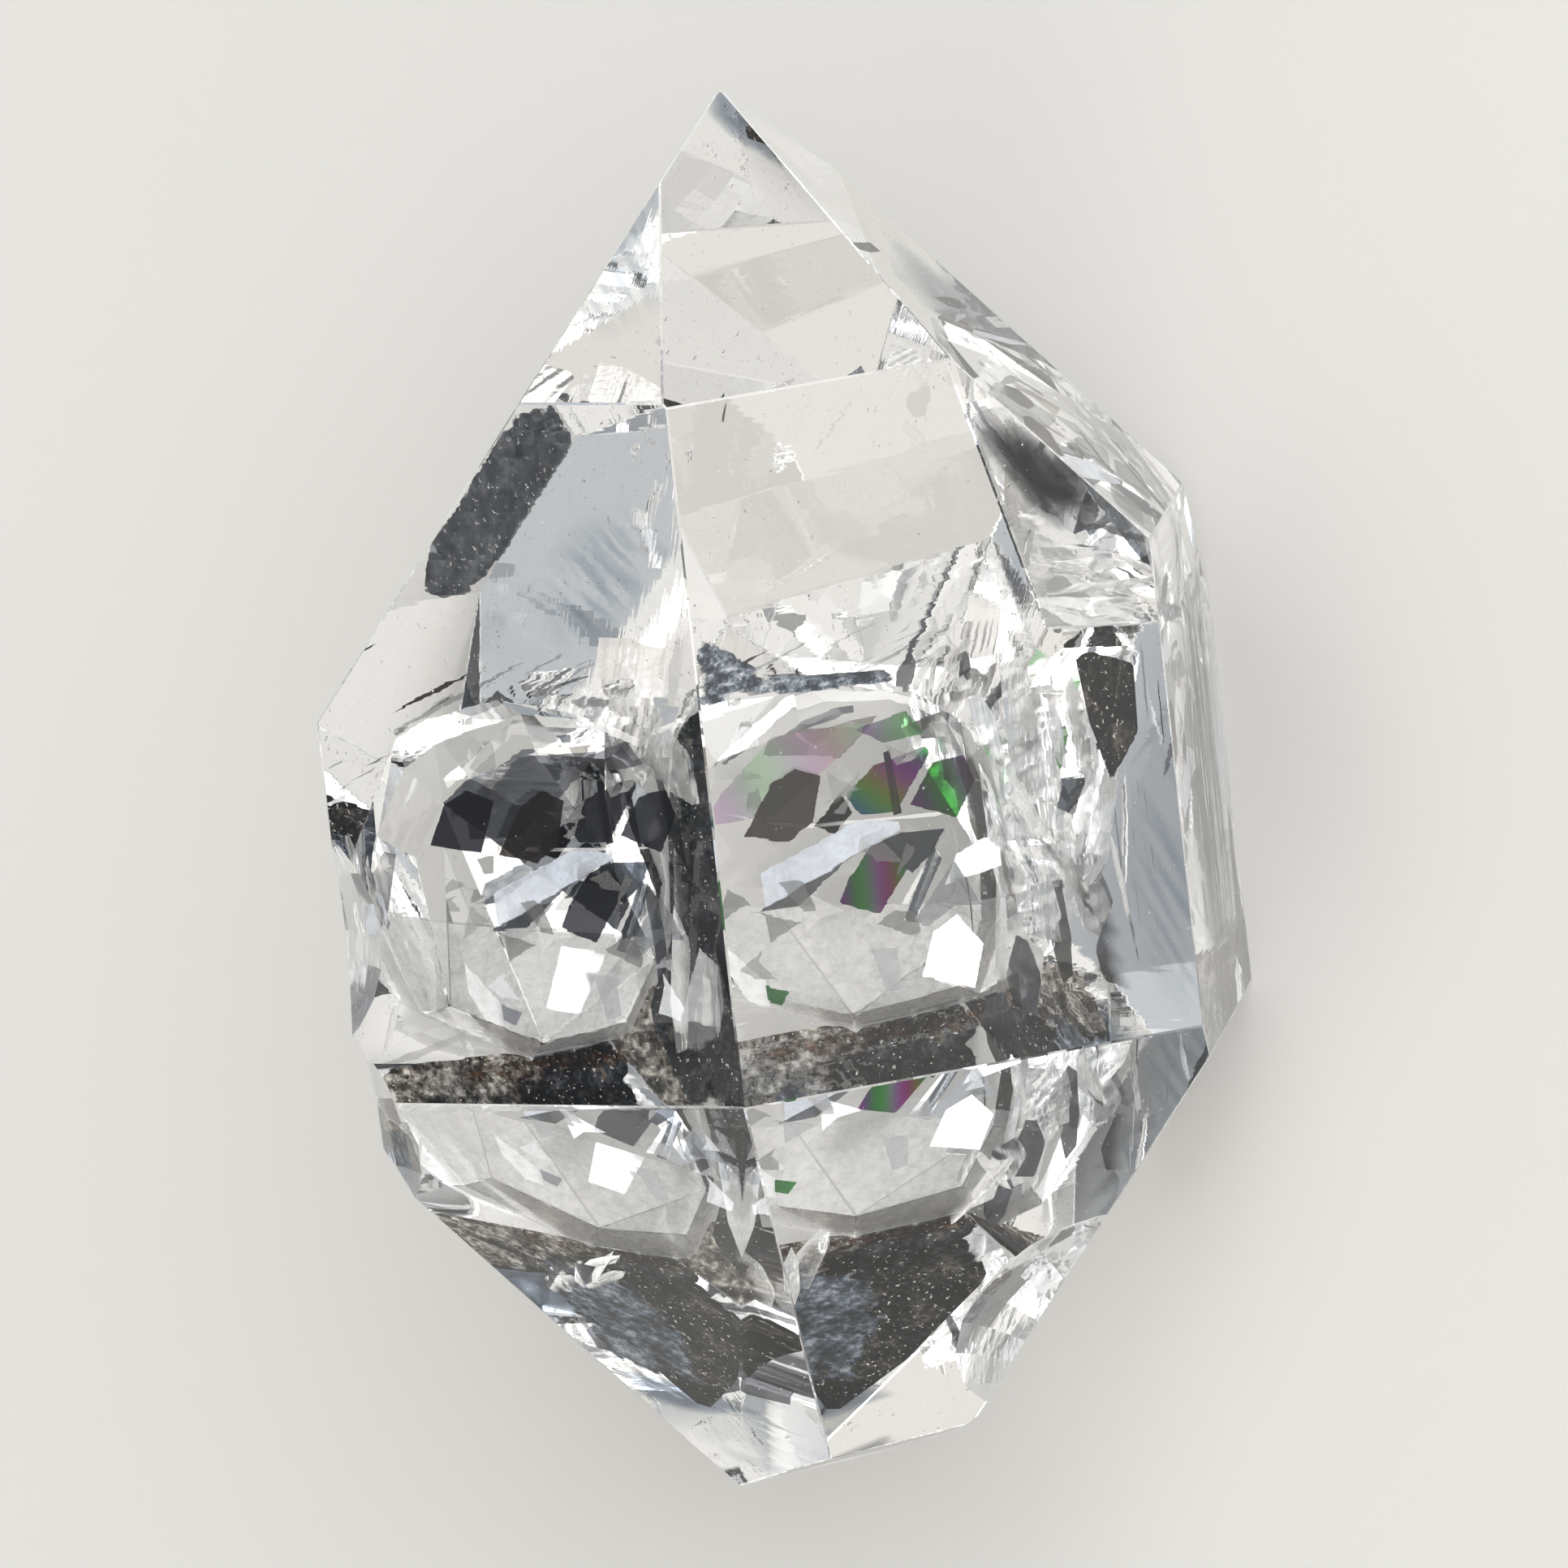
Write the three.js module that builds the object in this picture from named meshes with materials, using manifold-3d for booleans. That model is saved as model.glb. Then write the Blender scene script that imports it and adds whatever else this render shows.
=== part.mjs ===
// A herkimer diamond: one clear, doubly terminated quartz crystal, lying on a prism face.
// Millimetres, +Z up. The crystal is worked out about its own centre, with its long c axis
// along +Z, and is then laid down on its back-right prism face, with the c axis along +Y.

import * as THREE from 'three';
import Module from 'manifold-3d';
import { ConvexGeometry } from 'three/addons/geometries/ConvexGeometry.js';
import { mergeVertices } from 'three/addons/utils/BufferGeometryUtils.js';

const wasm = await Module();
wasm.setup();

// ---------------------------------------------------------------- driving dimensions

// Quartz keeps its angles from crystal to crystal. Its six prism faces stand every 60
// degrees, and the normals of its pyramid faces lean this far from the c axis.
const PRISM_STEP = 60;
const PRISM_POLAR = 90;
const UPPER_POLAR = 51.79;
const LOWER_POLAR = 180 - UPPER_POLAR;

// Azimuth of the front-right prism face, counted from the front towards the right.
const FRONT_RIGHT_AZIMUTH = 23.1;

// How far each face grew from the centre of the crystal, for the prism and the two pyramids.
const FACES = [
  { side: 'frontLeft', step: -1, prism: 6.4, upper: 9.2, lower: 7.15 },
  { side: 'frontRight', step: 0, prism: 6.2, upper: 9.0, lower: 7.0 },
  { side: 'right', step: 1, prism: 6.05, upper: 7.0, lower: 7.2 },
  { side: 'backRight', step: 2, prism: 5.7, upper: 5.45, lower: 8.3 },
  { side: 'backLeft', step: 3, prism: 6.2, upper: 4.05, lower: 7.25 },
  { side: 'left', step: 4, prism: 6.1, upper: 6.1, lower: 7.55 },
];
const RESTING_SIDE = 'backRight';

// Flat breaks and the small odd face by the upper tip: azimuth, lean of the normal from the
// c axis, and distance from the centre.
const FLAT_CUTS = {
  lowerTipBreak: { azimuth: 37, polar: 166, distance: 9.52 },
  lowerTipCorner: { azimuth: 73, polar: 151, distance: 9.07 },
  upperTipFace: { azimuth: 100.8, polar: 40.1, distance: 7.81 },
};

// Shell-shaped chips: each is scooped out by a ball. The point is the middle of the chip on
// the crystal, the azimuth and lean say which way the chip faces, and depth is how far the
// ball reaches below that point.
const CHIPS = {
  lowerRightChip: { at: [1.95, -1.95, -8.3], azimuth: 57, polar: 114, radius: 3.4, depth: 0.34 },
  leftEdgeChip: { at: [-6.35, -3.1, -1.1], azimuth: -62, polar: 88, radius: 3.2, depth: 0.2 },
  leftCornerChip: { at: [-6.3, -2.3, -3.9], azimuth: -78, polar: 104, radius: 3.6, depth: 0.42 },
};
const CHIP_SEGMENTS = 40;

// The imprint of a neighbour crystal's tip, sunk into the back. Its mouth crosses the edges
// where the two back prism faces and the back-left pyramid face meet. The points are x, y, z
// from the centre of the crystal. The rim runs round the mouth, and the floor is the narrow
// flat that the tip's ridge left. Between the rim and the floor stands a steeper band.
const IMPRINT_RIM = [
  [-2.8, 3.5, 1.0],
  [-1.3, 3.95, 1.3],
  [0.35, 4.95, 0.95],
  [0.85, 5.6, 0.5],
  [1.2, 6.2, -0.5],
  [1.35, 6.05, -1.5],
  [1.2, 6.2, -2.6],
  [0.6, 6.65, -3.7],
  [-1.25, 6.1, -3.9],
  [-3.2, 5.4, -3.1],
  [-3.85, 5.1, -1.6],
  [-3.85, 4.2, -0.4],
  [-3.4, 3.5, 0.6],
];
const IMPRINT_FLOOR = [
  [0.04, 4.58, -0.87],
  [-0.73, 4.45, -0.78],
  [-2.09, 4.15, -1.29],
  [-2.13, 4.56, -1.83],
];
const IMPRINT_MOUTH = { azimuth: 192.5, polar: 67.5 }; // the way the mouth faces
const IMPRINT_BAND = { inset: 0.15, depth: 0.5 }; // share of the way to the floor, and depth
const IMPRINT_OVERSHOOT = 0.3; // the cutting form goes on past the rim by this share of the band
const IMPRINT_CLEARANCE = 3.5; // and then straight out, clear of the crystal

const BLANK = 40; // the block that the faces are cut from, and the size of each cutting block

// ---------------------------------------------------------------- helpers

// Unit vector of a face normal: azimuth from the front (-Y) towards the right (+X).
function direction(azimuth, polar) {
  const around = THREE.MathUtils.degToRad(azimuth);
  const lean = THREE.MathUtils.degToRad(polar);
  return new THREE.Vector3(
    Math.sin(lean) * Math.sin(around),
    -Math.sin(lean) * Math.cos(around),
    Math.cos(lean),
  );
}

// A closed three.js geometry as a solid.
function toSolid(geometry) {
  const bare = geometry.clone();
  bare.deleteAttribute('normal');
  bare.deleteAttribute('uv');
  const merged = mergeVertices(bare, 1e-5);
  return new wasm.Manifold(new wasm.Mesh({
    numProp: 3,
    vertProperties: new Float32Array(merged.attributes.position.array),
    triVerts: new Uint32Array(merged.index.array),
  }));
}

function toGeometry(solid) {
  const mesh = solid.getMesh();
  const geometry = new THREE.BufferGeometry();
  geometry.setAttribute('position', new THREE.BufferAttribute(mesh.vertProperties, 3));
  geometry.setIndex(new THREE.BufferAttribute(mesh.triVerts, 1));
  return geometry;
}

// The block of everything that lies beyond a face.
function beyondFace(azimuth, polar, distance) {
  const normal = direction(azimuth, polar);
  const block = new THREE.BoxGeometry(BLANK, BLANK, BLANK);
  block.applyQuaternion(new THREE.Quaternion().setFromUnitVectors(new THREE.Vector3(0, 0, 1), normal));
  block.translate(...normal.multiplyScalar(distance + BLANK / 2).toArray());
  return toSolid(block);
}

function chipBall({ at, azimuth, polar, radius, depth }) {
  const centre = new THREE.Vector3(...at).addScaledVector(direction(azimuth, polar), radius - depth);
  const ball = new THREE.SphereGeometry(radius, CHIP_SEGMENTS, CHIP_SEGMENTS / 2);
  ball.translate(...centre.toArray());
  return toSolid(ball);
}

// ---------------------------------------------------------------- the crystal

const azimuthOf = (face) => FRONT_RIGHT_AZIMUTH + PRISM_STEP * face.step;

function grownCrystal() {
  let solid = toSolid(new THREE.BoxGeometry(BLANK, BLANK, BLANK));
  for (const face of FACES) {
    solid = solid.subtract(beyondFace(azimuthOf(face), PRISM_POLAR, face.prism));
    solid = solid.subtract(beyondFace(azimuthOf(face), UPPER_POLAR, face.upper));
    solid = solid.subtract(beyondFace(azimuthOf(face), LOWER_POLAR, face.lower));
  }
  return solid;
}

const resting = FACES.find((face) => face.side === RESTING_SIDE);

function imprint() {
  const outward = direction(IMPRINT_MOUTH.azimuth, IMPRINT_MOUTH.polar);
  const floor = IMPRINT_FLOOR.map((point) => new THREE.Vector3(...point));
  const middle = floor.reduce((sum, point) => sum.add(point), new THREE.Vector3()).divideScalar(floor.length);
  const points = [...floor];
  for (const rim of IMPRINT_RIM.map((point) => new THREE.Vector3(...point))) {
    const inset = middle.clone().sub(rim).projectOnPlane(outward).multiplyScalar(IMPRINT_BAND.inset);
    const band = rim.clone().add(inset).addScaledVector(outward, -IMPRINT_BAND.depth);
    const lip = rim.clone().addScaledVector(rim.clone().sub(band), IMPRINT_OVERSHOOT);
    points.push(band, lip, lip.clone().addScaledVector(outward, IMPRINT_CLEARANCE));
  }
  return toSolid(new ConvexGeometry(points));
}

function crystalSolid() {
  let solid = grownCrystal();
  for (const cut of Object.values(FLAT_CUTS)) {
    solid = solid.subtract(beyondFace(cut.azimuth, cut.polar, cut.distance));
  }
  for (const chip of Object.values(CHIPS)) solid = solid.subtract(chipBall(chip));
  return solid.subtract(imprint());
}

// Laid down: the resting face turns to -Z and the c axis to +Y.
function laidDown(geometry) {
  const up = direction(azimuthOf(resting), PRISM_POLAR).negate();
  const cAxis = new THREE.Vector3(0, 0, 1);
  const side = new THREE.Vector3().crossVectors(cAxis, up);
  const rest = new THREE.Matrix4().makeBasis(side, cAxis, up).transpose();
  geometry.applyMatrix4(rest);
  geometry.computeBoundingBox();
  const box = geometry.boundingBox;
  geometry.translate(-(box.min.x + box.max.x) / 2, -(box.min.y + box.max.y) / 2, -box.min.z);
  return geometry;
}

const clearQuartz = new THREE.MeshStandardMaterial({
  color: '#dfe3e4',
  roughness: 0.03,
  metalness: 0,
});
clearQuartz.name = 'clear quartz';

const crystal = new THREE.Mesh(laidDown(toGeometry(crystalSolid())), clearQuartz);
crystal.name = 'quartz_crystal';

const herkimer = new THREE.Group();
herkimer.name = 'herkimer_diamond';
herkimer.add(crystal);

export default herkimer;
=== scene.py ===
# %% [markdown]
# # A herkimer diamond in Blender
# A clear quartz crystal with a point at each end lies on one of its prism faces. The packed
# CAD model fixes its place and size. This lesson dresses it: natural growth faces, broken
# chips, dark films on the back faces, the imprint of a neighbour, cracks, dust, then the light.

# %% Setup
import math

import bmesh
import bpy
import numpy as np
from mathutils import Matrix, Vector
from mathutils.bvhtree import BVHTree


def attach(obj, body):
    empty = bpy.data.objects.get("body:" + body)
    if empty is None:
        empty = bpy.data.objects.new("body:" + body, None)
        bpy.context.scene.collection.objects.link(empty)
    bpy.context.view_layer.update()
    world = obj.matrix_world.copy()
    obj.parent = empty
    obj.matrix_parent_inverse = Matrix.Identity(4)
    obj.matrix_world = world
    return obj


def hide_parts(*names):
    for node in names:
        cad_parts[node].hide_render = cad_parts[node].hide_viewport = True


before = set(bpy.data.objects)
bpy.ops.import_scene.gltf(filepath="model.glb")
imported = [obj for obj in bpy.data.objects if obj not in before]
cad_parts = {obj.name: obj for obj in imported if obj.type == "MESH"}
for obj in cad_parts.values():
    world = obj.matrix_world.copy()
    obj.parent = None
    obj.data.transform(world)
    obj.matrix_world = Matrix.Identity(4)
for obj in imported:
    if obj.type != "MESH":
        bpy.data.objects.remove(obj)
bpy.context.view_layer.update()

MM = 0.001
PER_MM = 1 / MM
SCENE = bpy.context.scene

# %% [markdown]
# ## The crystal's own axes
# Quartz keeps its angles. Each prism face has an upper and a lower pyramid face, whose
# normals lean 51.79 degrees from the c axis. Features are placed in the crystal's own axes,
# in mm from the centre it grew from: x to the right, y to the back, z along the c axis.
# They are then turned into the row frame, where the c axis lies along +Y and the back-right
# prism face is on the floor.

# %% Crystal directions
PYRAMID_POLAR = 51.79
BACK_RIGHT_AZIMUTH = 143.1
CENTRE = np.array([0.0144, -0.1872, 5.7])  # mm, the growth centre in the row frame


def direction(azimuth, polar):
    """Unit vector (sin p sin a, -sin p cos a, cos p): azimuth from the front to the right."""
    a, p = np.radians(azimuth), np.radians(polar)
    return np.array([np.sin(p) * np.sin(a), -np.sin(p) * np.cos(a), np.cos(p)])


UP = -direction(BACK_RIGHT_AZIMUTH, 90.0)
C_AXIS = np.array([0.0, 0.0, 1.0])
TURN = np.array([np.cross(C_AXIS, UP), C_AXIS, UP])  # rows: the row frame's x, y and z


def to_row(points):
    """Points in the crystal's axes, mm, as points in the row frame, metres."""
    return (np.asarray(points) @ TURN.T + CENTRE) * MM


def to_crystal(points):
    """Points in the row frame, metres, as points in the crystal's axes, mm."""
    return (np.asarray(points) / MM - CENTRE) @ TURN


FACES = {  # azimuth, and growth distances of the prism, upper and lower faces, mm
    "FL": (-36.9, 6.4, 9.2, 7.15),
    "FR": (23.1, 6.2, 9.0, 7.0),
    "R": (83.1, 6.05, 7.0, 7.2),
    "BR": (143.1, 5.7, 5.45, 8.3),
    "BL": (203.1, 6.2, 4.05, 7.25),
    "L": (263.1, 6.1, 6.1, 7.55),
}
PLANE = {}  # m, p and q are the prism, upper and lower faces of a side
for side, (azimuth, prism, upper, lower) in FACES.items():
    PLANE["m" + side] = (direction(azimuth, 90.0), prism)
    PLANE["p" + side] = (direction(azimuth, PYRAMID_POLAR), upper)
    PLANE["q" + side] = (direction(azimuth, 180.0 - PYRAMID_POLAR), lower)
print("faces:", len(PLANE))

# %% [markdown]
# ## Colours and nodes
# Every pattern is placed by object coordinates, and its scale is given in steps per mm.

# %% Helpers
WHITE = (1, 1, 1, 1)


def linear(hex_colour):
    """Linear RGBA of an sRGB hex colour."""
    parts = [int(hex_colour[i:i + 2], 16) / 255 for i in (1, 3, 5)]
    return [p / 12.92 if p <= 0.04045 else ((p + 0.055) / 1.055) ** 2.4 for p in parts] + [1.0]


def add(tree, kind, inputs=None, **settings):
    """A node of this kind. An input takes a number, a colour, or another node's socket."""
    node = tree.nodes.new(kind)
    for key, value in settings.items():
        setattr(node, key, value)
    for key, value in (inputs or {}).items():
        if isinstance(value, bpy.types.NodeSocket):
            tree.links.new(value, node.inputs[key])
        else:
            node.inputs[key].default_value = value
    return node


def new_material(name):
    material = bpy.data.materials.new(name)
    material.use_nodes = True
    material.node_tree.nodes.clear()
    return material, material.node_tree


def finished(material, shader):
    """The material, with this shader on its surface."""
    output = add(material.node_tree, "ShaderNodeOutputMaterial")
    material.node_tree.links.new(shader.outputs[0], output.inputs["Surface"])
    return material


def ramp(tree, fac, stops):
    """A colour ramp through (position, hex colour) stops."""
    node = add(tree, "ShaderNodeValToRGB", {"Fac": fac})
    elements = node.color_ramp.elements
    for element, (position, colour) in zip(elements, (stops[0], stops[-1])):
        element.position, element.color = position, linear(colour)
    for position, colour in stops[1:-1]:
        elements.new(position).color = linear(colour)
    return node.outputs[0]


def noise(tree, per_mm, detail, roughness=0.55):
    where = add(tree, "ShaderNodeTexCoord").outputs["Object"]
    settings = {"Vector": where, "Scale": per_mm * PER_MM, "Detail": detail, "Roughness": roughness}
    return add(tree, "ShaderNodeTexNoise", settings).outputs[0]


def streaky_noise(tree, per_mm, detail, turn=0.0):
    """Noise with its own steps per mm along each axis, turned about z by these degrees."""
    where = add(tree, "ShaderNodeTexCoord").outputs["Object"]
    if turn:
        settings = {"Vector": where, "Angle": math.radians(turn)}
        where = add(tree, "ShaderNodeVectorRotate", settings, rotation_type="Z_AXIS").outputs[0]
    scale = tuple(steps * PER_MM for steps in per_mm)
    where = add(tree, "ShaderNodeVectorMath", {0: where, 1: scale}, operation="MULTIPLY").outputs[0]
    return add(tree, "ShaderNodeTexNoise", {"Vector": where, "Scale": 1.0, "Detail": detail}).outputs[0]


def bump(tree, height, strength, distance):
    """A normal bent by the slope of this height, whose full range is this distance, mm."""
    inputs = {"Height": height, "Strength": strength, "Distance": distance * MM}
    return add(tree, "ShaderNodeBump", inputs).outputs[0]


def fade(tree, value, low, high, start=0.0, end=1.0):
    limits = {"Value": value, "From Min": low, "From Max": high, "To Min": start, "To Max": end}
    return add(tree, "ShaderNodeMapRange", limits).outputs[0]


def arithmetic(tree, operation, *values):
    return add(tree, "ShaderNodeMath", dict(enumerate(values)), operation=operation).outputs[0]


def attribute(tree, name, output):
    return add(tree, "ShaderNodeAttribute", attribute_name=name).outputs[output]


def facing(tree):
    """1 - cos of the slant at which a ray meets the sheet: 0 face on, 1 at a grazing slant."""
    return add(tree, "ShaderNodeLayerWeight", {"Blend": 0.5}).outputs["Facing"]


def mix_colours(tree, share, first, second):
    mix = {"Factor": share, "A": first, "B": second}
    return add(tree, "ShaderNodeMix", mix, data_type="RGBA").outputs["Result"]


def mix_shaders(tree, share, first, second):
    return add(tree, "ShaderNodeMixShader", {0: share, 1: first.outputs[0], 2: second.outputs[0]})


# %% [markdown]
# ## Materials
# Clear quartz is plain transmission with quartz's refractive index.

# %% Clear quartz
QUARTZ_IOR = 1.544


def quartz_shader(tree, roughness=0.0, normal=None):
    inputs = {
        "Base Color": WHITE,
        "Roughness": roughness,
        "IOR": QUARTZ_IOR,
        "Transmission Weight": 1.0,
    }
    if normal:
        inputs["Normal"] = normal
    return add(tree, "ShaderNodeBsdfPrincipled", inputs)


def clear_quartz():
    """Pyramid faces: grown mirror-smooth."""
    material, tree = new_material("clear quartz")
    return finished(material, quartz_shader(tree))


def striated_quartz():
    """Prism faces: grown with faint steps across the c axis, about 5 to the mm."""
    material, tree = new_material("striated quartz")
    steps = streaky_noise(tree, (0.26, 5.0, 0.26), 2.0)
    return finished(material, quartz_shader(tree, normal=bump(tree, steps, 0.06, 0.02)))


def broken_quartz():
    """Chips: shell-shaped breaks with fine ripples, slightly frosted."""
    material, tree = new_material("broken quartz")
    ripple = streaky_noise(tree, (2.6, 0.9, 2.6), 3.0)
    glass = quartz_shader(tree, roughness=0.12, normal=bump(tree, ripple, 0.6, 0.05))
    frost = add(tree, "ShaderNodeBsdfPrincipled", {"Base Color": linear("#f5f6f8"), "Roughness": 0.4})
    return finished(material, mix_shaders(tree, 0.22, glass, frost))


# %% [markdown]
# A film of clay or bitumen is opaque and ragged. A veil is so thin that it only tints the
# light. Both read "cover" from the mesh, which runs from 0 at the rim of a sheet to 1 in its
# middle.

# %% Dark films and veils
FINE_GRAIN = 9.0  # steps per mm
SPECK_GRAIN = 14.0  # steps per mm
SPECK_LEVELS = (0.74, 0.77)  # a white speck starts and is full at these levels of its noise
RAGGED = 0.06  # the range of the mask in which a film's rim runs out


# The same ragged film also paints shade: on the lower right face it stands in for the dark floor.
def film(name, stops, blotch, coverage, edge, white_specks=0.0, slant=None):
    """Clay and bitumen dried on a face that grew against the rock: a patchy, ragged film.

    Its mask starts where noise + edge * cover passes 1 - coverage. A film that barely touches
    the quartz is lost between two slants, as Facing values, where the face becomes a mirror.
    """
    material, tree = new_material(name)
    coarse = arithmetic(tree, "MULTIPLY", noise(tree, 1.7 * blotch, 5.0, 0.6), 0.6)
    level = arithmetic(tree, "MULTIPLY_ADD", noise(tree, FINE_GRAIN, 3.0, 0.6), 0.4, coarse)
    colour = ramp(tree, level, stops)
    if white_specks:
        start, full = (level - white_specks for level in SPECK_LEVELS)
        speck = fade(tree, noise(tree, SPECK_GRAIN, 1.0), start, full)
        colour = mix_colours(tree, speck, colour, linear("#e6e3dd"))
    rim = arithmetic(tree, "MULTIPLY", attribute(tree, "cover", "Fac"), edge)
    level = arithmetic(tree, "ADD", noise(tree, blotch, 6.0, 0.68), rim)
    mask = fade(tree, level, 1.0 - coverage, 1.0 - coverage + RAGGED)
    if slant:
        mask = arithmetic(tree, "MULTIPLY", mask, fade(tree, facing(tree), *slant, 1.0, 0.0))
    clear = add(tree, "ShaderNodeBsdfTransparent")
    matter = add(tree, "ShaderNodeBsdfPrincipled", {
        "Base Color": colour,
        "Roughness": 0.7,
        "Specular IOR Level": 0.1,
    })
    return finished(material, mix_shaders(tree, mask, clear, matter))


def veil(name, stops, per_mm, turn=0.0):
    """A thin even film that light still passes, with faint streaks."""
    material, tree = new_material(name)
    streak = streaky_noise(tree, per_mm, 5.0, turn)
    level = arithmetic(tree, "ADD", streak, attribute(tree, "cover", "Fac"))
    colour = mix_colours(tree, fade(tree, level, 0.45, 1.0), WHITE, ramp(tree, streak, stops))
    return finished(material, add(tree, "ShaderNodeBsdfTransparent", {"Color": colour}))


# %% [markdown]
# A crack, a facet of the imprint and an air film pass some light straight on and mirror the
# rest. Facets and air films read their colour, "tint", from the mesh.

# %% Cracks, facets and air films
CRITICAL_FACING = 0.239  # 1 - cos of quartz's critical angle, 40.4 degrees
CRITICAL_BLUR = 0.05  # a real crack turns into a mirror over this much to either side


def crack(name, colour, share, roughness):
    """A thin air gap: clear face on, and past the critical angle a mirror with fine streaks."""
    material, tree = new_material(name)
    streak = streaky_noise(tree, (4.5, 0.7, 4.5), 4.0)
    limits = (CRITICAL_FACING - CRITICAL_BLUR, CRITICAL_FACING + CRITICAL_BLUR)
    mirror = fade(tree, facing(tree), *limits, 0.0, share)
    clear = add(tree, "ShaderNodeBsdfTransparent")
    gloss = add(tree, "ShaderNodeBsdfGlossy", {
        "Color": linear(colour),
        "Roughness": roughness,
        "Normal": bump(tree, streak, 0.5, 0.03),
    })
    return finished(material, mix_shaders(tree, mirror, clear, gloss))


def tinted_sheet(tree, colour, share, roughness):
    """A shader that mirrors a share of the light and passes the rest, both in this colour."""
    clear = add(tree, "ShaderNodeBsdfTransparent", {"Color": colour})
    gloss = add(tree, "ShaderNodeBsdfGlossy", {"Color": colour, "Roughness": roughness})
    return mix_shaders(tree, share, clear, gloss)


def tinted(name, share, roughness):
    """A flat facet that has its tint from every side."""
    material, tree = new_material(name)
    return finished(material, tinted_sheet(tree, attribute(tree, "tint", "Color"), share, roughness))


def iridescent(name, dark):
    """An air film: it shows its tint face on, turns dark a little aslant, and then clears."""
    material, tree = new_material(name)
    # Painted shade: the dark colour that the film turns to a little aslant.
    aslant = ramp(tree, facing(tree), [(0.06, dark), (0.3, "#c6c8cb")])
    turning = fade(tree, facing(tree), 0.02, 0.055)
    colour = mix_colours(tree, turning, attribute(tree, "tint", "Color"), aslant)
    return finished(material, tinted_sheet(tree, colour, 0.1, 0.08))


def glint(name, none, full):
    """A flat break that reflects light into some directions only, by its Facing value."""
    material, tree = new_material(name)
    clear = add(tree, "ShaderNodeBsdfTransparent")
    colour = attribute(tree, "tint", "Color")
    gloss = add(tree, "ShaderNodeBsdfGlossy", {"Color": colour, "Roughness": 0.3})
    return finished(material, mix_shaders(tree, fade(tree, facing(tree), none, full), clear, gloss))


def snowy(name, amount, shine=0.0):
    """A finely crushed break: it scatters light back, with a shine, and lets some through."""
    material, tree = new_material(name)
    colour = attribute(tree, "tint", "Color")
    scatter = add(tree, "ShaderNodeBsdfPrincipled", {"Base Color": colour, "Roughness": 0.35})
    if shine:
        gloss = add(tree, "ShaderNodeBsdfGlossy", {"Color": colour, "Roughness": 0.4})
        scatter = mix_shaders(tree, shine, scatter, gloss)
    clear = add(tree, "ShaderNodeBsdfTransparent")
    share = fade(tree, noise(tree, 5.2, 4.0, 0.7), 0.3, 0.62, amount - 0.35, amount)
    return finished(material, mix_shaders(tree, share, clear, scatter))


def matte(name, colour):
    """Dust or paper: dull and opaque."""
    material, tree = new_material(name)
    inputs = {"Base Color": linear(colour), "Roughness": 0.9}
    return finished(material, add(tree, "ShaderNodeBsdfPrincipled", inputs))


# %% [markdown]
# ## The crystal's mesh
# The CAD mesh is loose triangles. A copy of it is welded, its flat faces are joined, and the
# edges between grown faces are worn back a little, as on the real crystal.

# %% The mesh
WELD = 0.001 * MM  # corners closer than this are one
FLAT_WITHIN = math.radians(0.4)  # triangles that turn by less than this are one face
EDGE_WEAR = 0.02 * MM  # how far the growth edges are worn back
EDGE_TURN = math.radians(20)  # the least turn at a growth edge
LEAST_FACE = 1.0  # mm2, a face smaller than this is part of a chip


def is_growth_edge(edge):
    """Whether two large faces meet at this edge, and turn well away from each other."""
    large = all(face.calc_area() / MM**2 > LEAST_FACE for face in edge.link_faces)
    return edge.is_manifold and large and edge.calc_face_angle() > EDGE_TURN


def worn_copy(node, name):
    """A welded copy of a CAD node's mesh, with one polygon for each flat face, and worn edges."""
    shape = bmesh.new()
    shape.from_mesh(node.data)
    bmesh.ops.remove_doubles(shape, verts=shape.verts, dist=WELD)
    bmesh.ops.dissolve_limit(shape, angle_limit=FLAT_WITHIN, verts=shape.verts, edges=shape.edges)
    bmesh.ops.recalc_face_normals(shape, faces=shape.faces)
    worn = [edge for edge in shape.edges if is_growth_edge(edge)]
    bmesh.ops.bevel(shape, geom=worn, offset=EDGE_WEAR, offset_type="OFFSET", segments=1, affect="EDGES")
    mesh = bpy.data.meshes.new(name)
    shape.to_mesh(mesh)
    shape.free()
    return mesh


mesh = worn_copy(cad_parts["quartz_crystal"], "herkimer_crystal")
print("polygons:", len(mesh.polygons))

# %% Which face is which
ALIGNED = 0.9999  # the least cos between the normals of a polygon and of its face
ON_PLANE = 0.02  # mm, the most that a polygon lies off its face
CHIP_AREA = 0.25  # mm2, the facets of the scooped chips are smaller than this
CLEAR, STRIATED, BROKEN = range(3)


def face_of(polygon):
    """The grown face that a polygon lies on, or None on a chip, a break or the imprint."""
    normal = TURN.T @ np.array(polygon.normal)
    point = to_crystal(np.array(polygon.center))
    for face, (own, distance) in PLANE.items():
        if normal @ own > ALIGNED and abs(point @ own - distance) < ON_PLANE:
            return face
    return None


for material in (clear_quartz(), striated_quartz(), broken_quartz()):
    mesh.materials.append(material)
for polygon in mesh.polygons:
    face = face_of(polygon)
    if face is None:
        polygon.material_index = BROKEN if polygon.area / MM**2 < CHIP_AREA else CLEAR
    else:
        polygon.material_index = STRIATED if face[0] == "m" else CLEAR
print("polygons by material:", np.bincount([p.material_index for p in mesh.polygons]))


def piece(mesh, name):
    """An object at the origin, made part of the crystal."""
    thing = bpy.data.objects.new(name, mesh)
    SCENE.collection.objects.link(thing)
    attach(thing, "root")
    return thing


crystal = piece(mesh, "herkimer_crystal")
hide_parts("quartz_crystal")
INSIDE = BVHTree.FromPolygons([v.co for v in mesh.vertices], [tuple(p.vertices) for p in mesh.polygons])

# %% [markdown]
# ## Sheets inside the crystal
# Films, cracks and air wedges are all thin sheets. Each is a web of rings and spokes about its
# centre, cut to an outline, bent and rippled. Every spoke ends where it meets the quartz surface.

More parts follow.
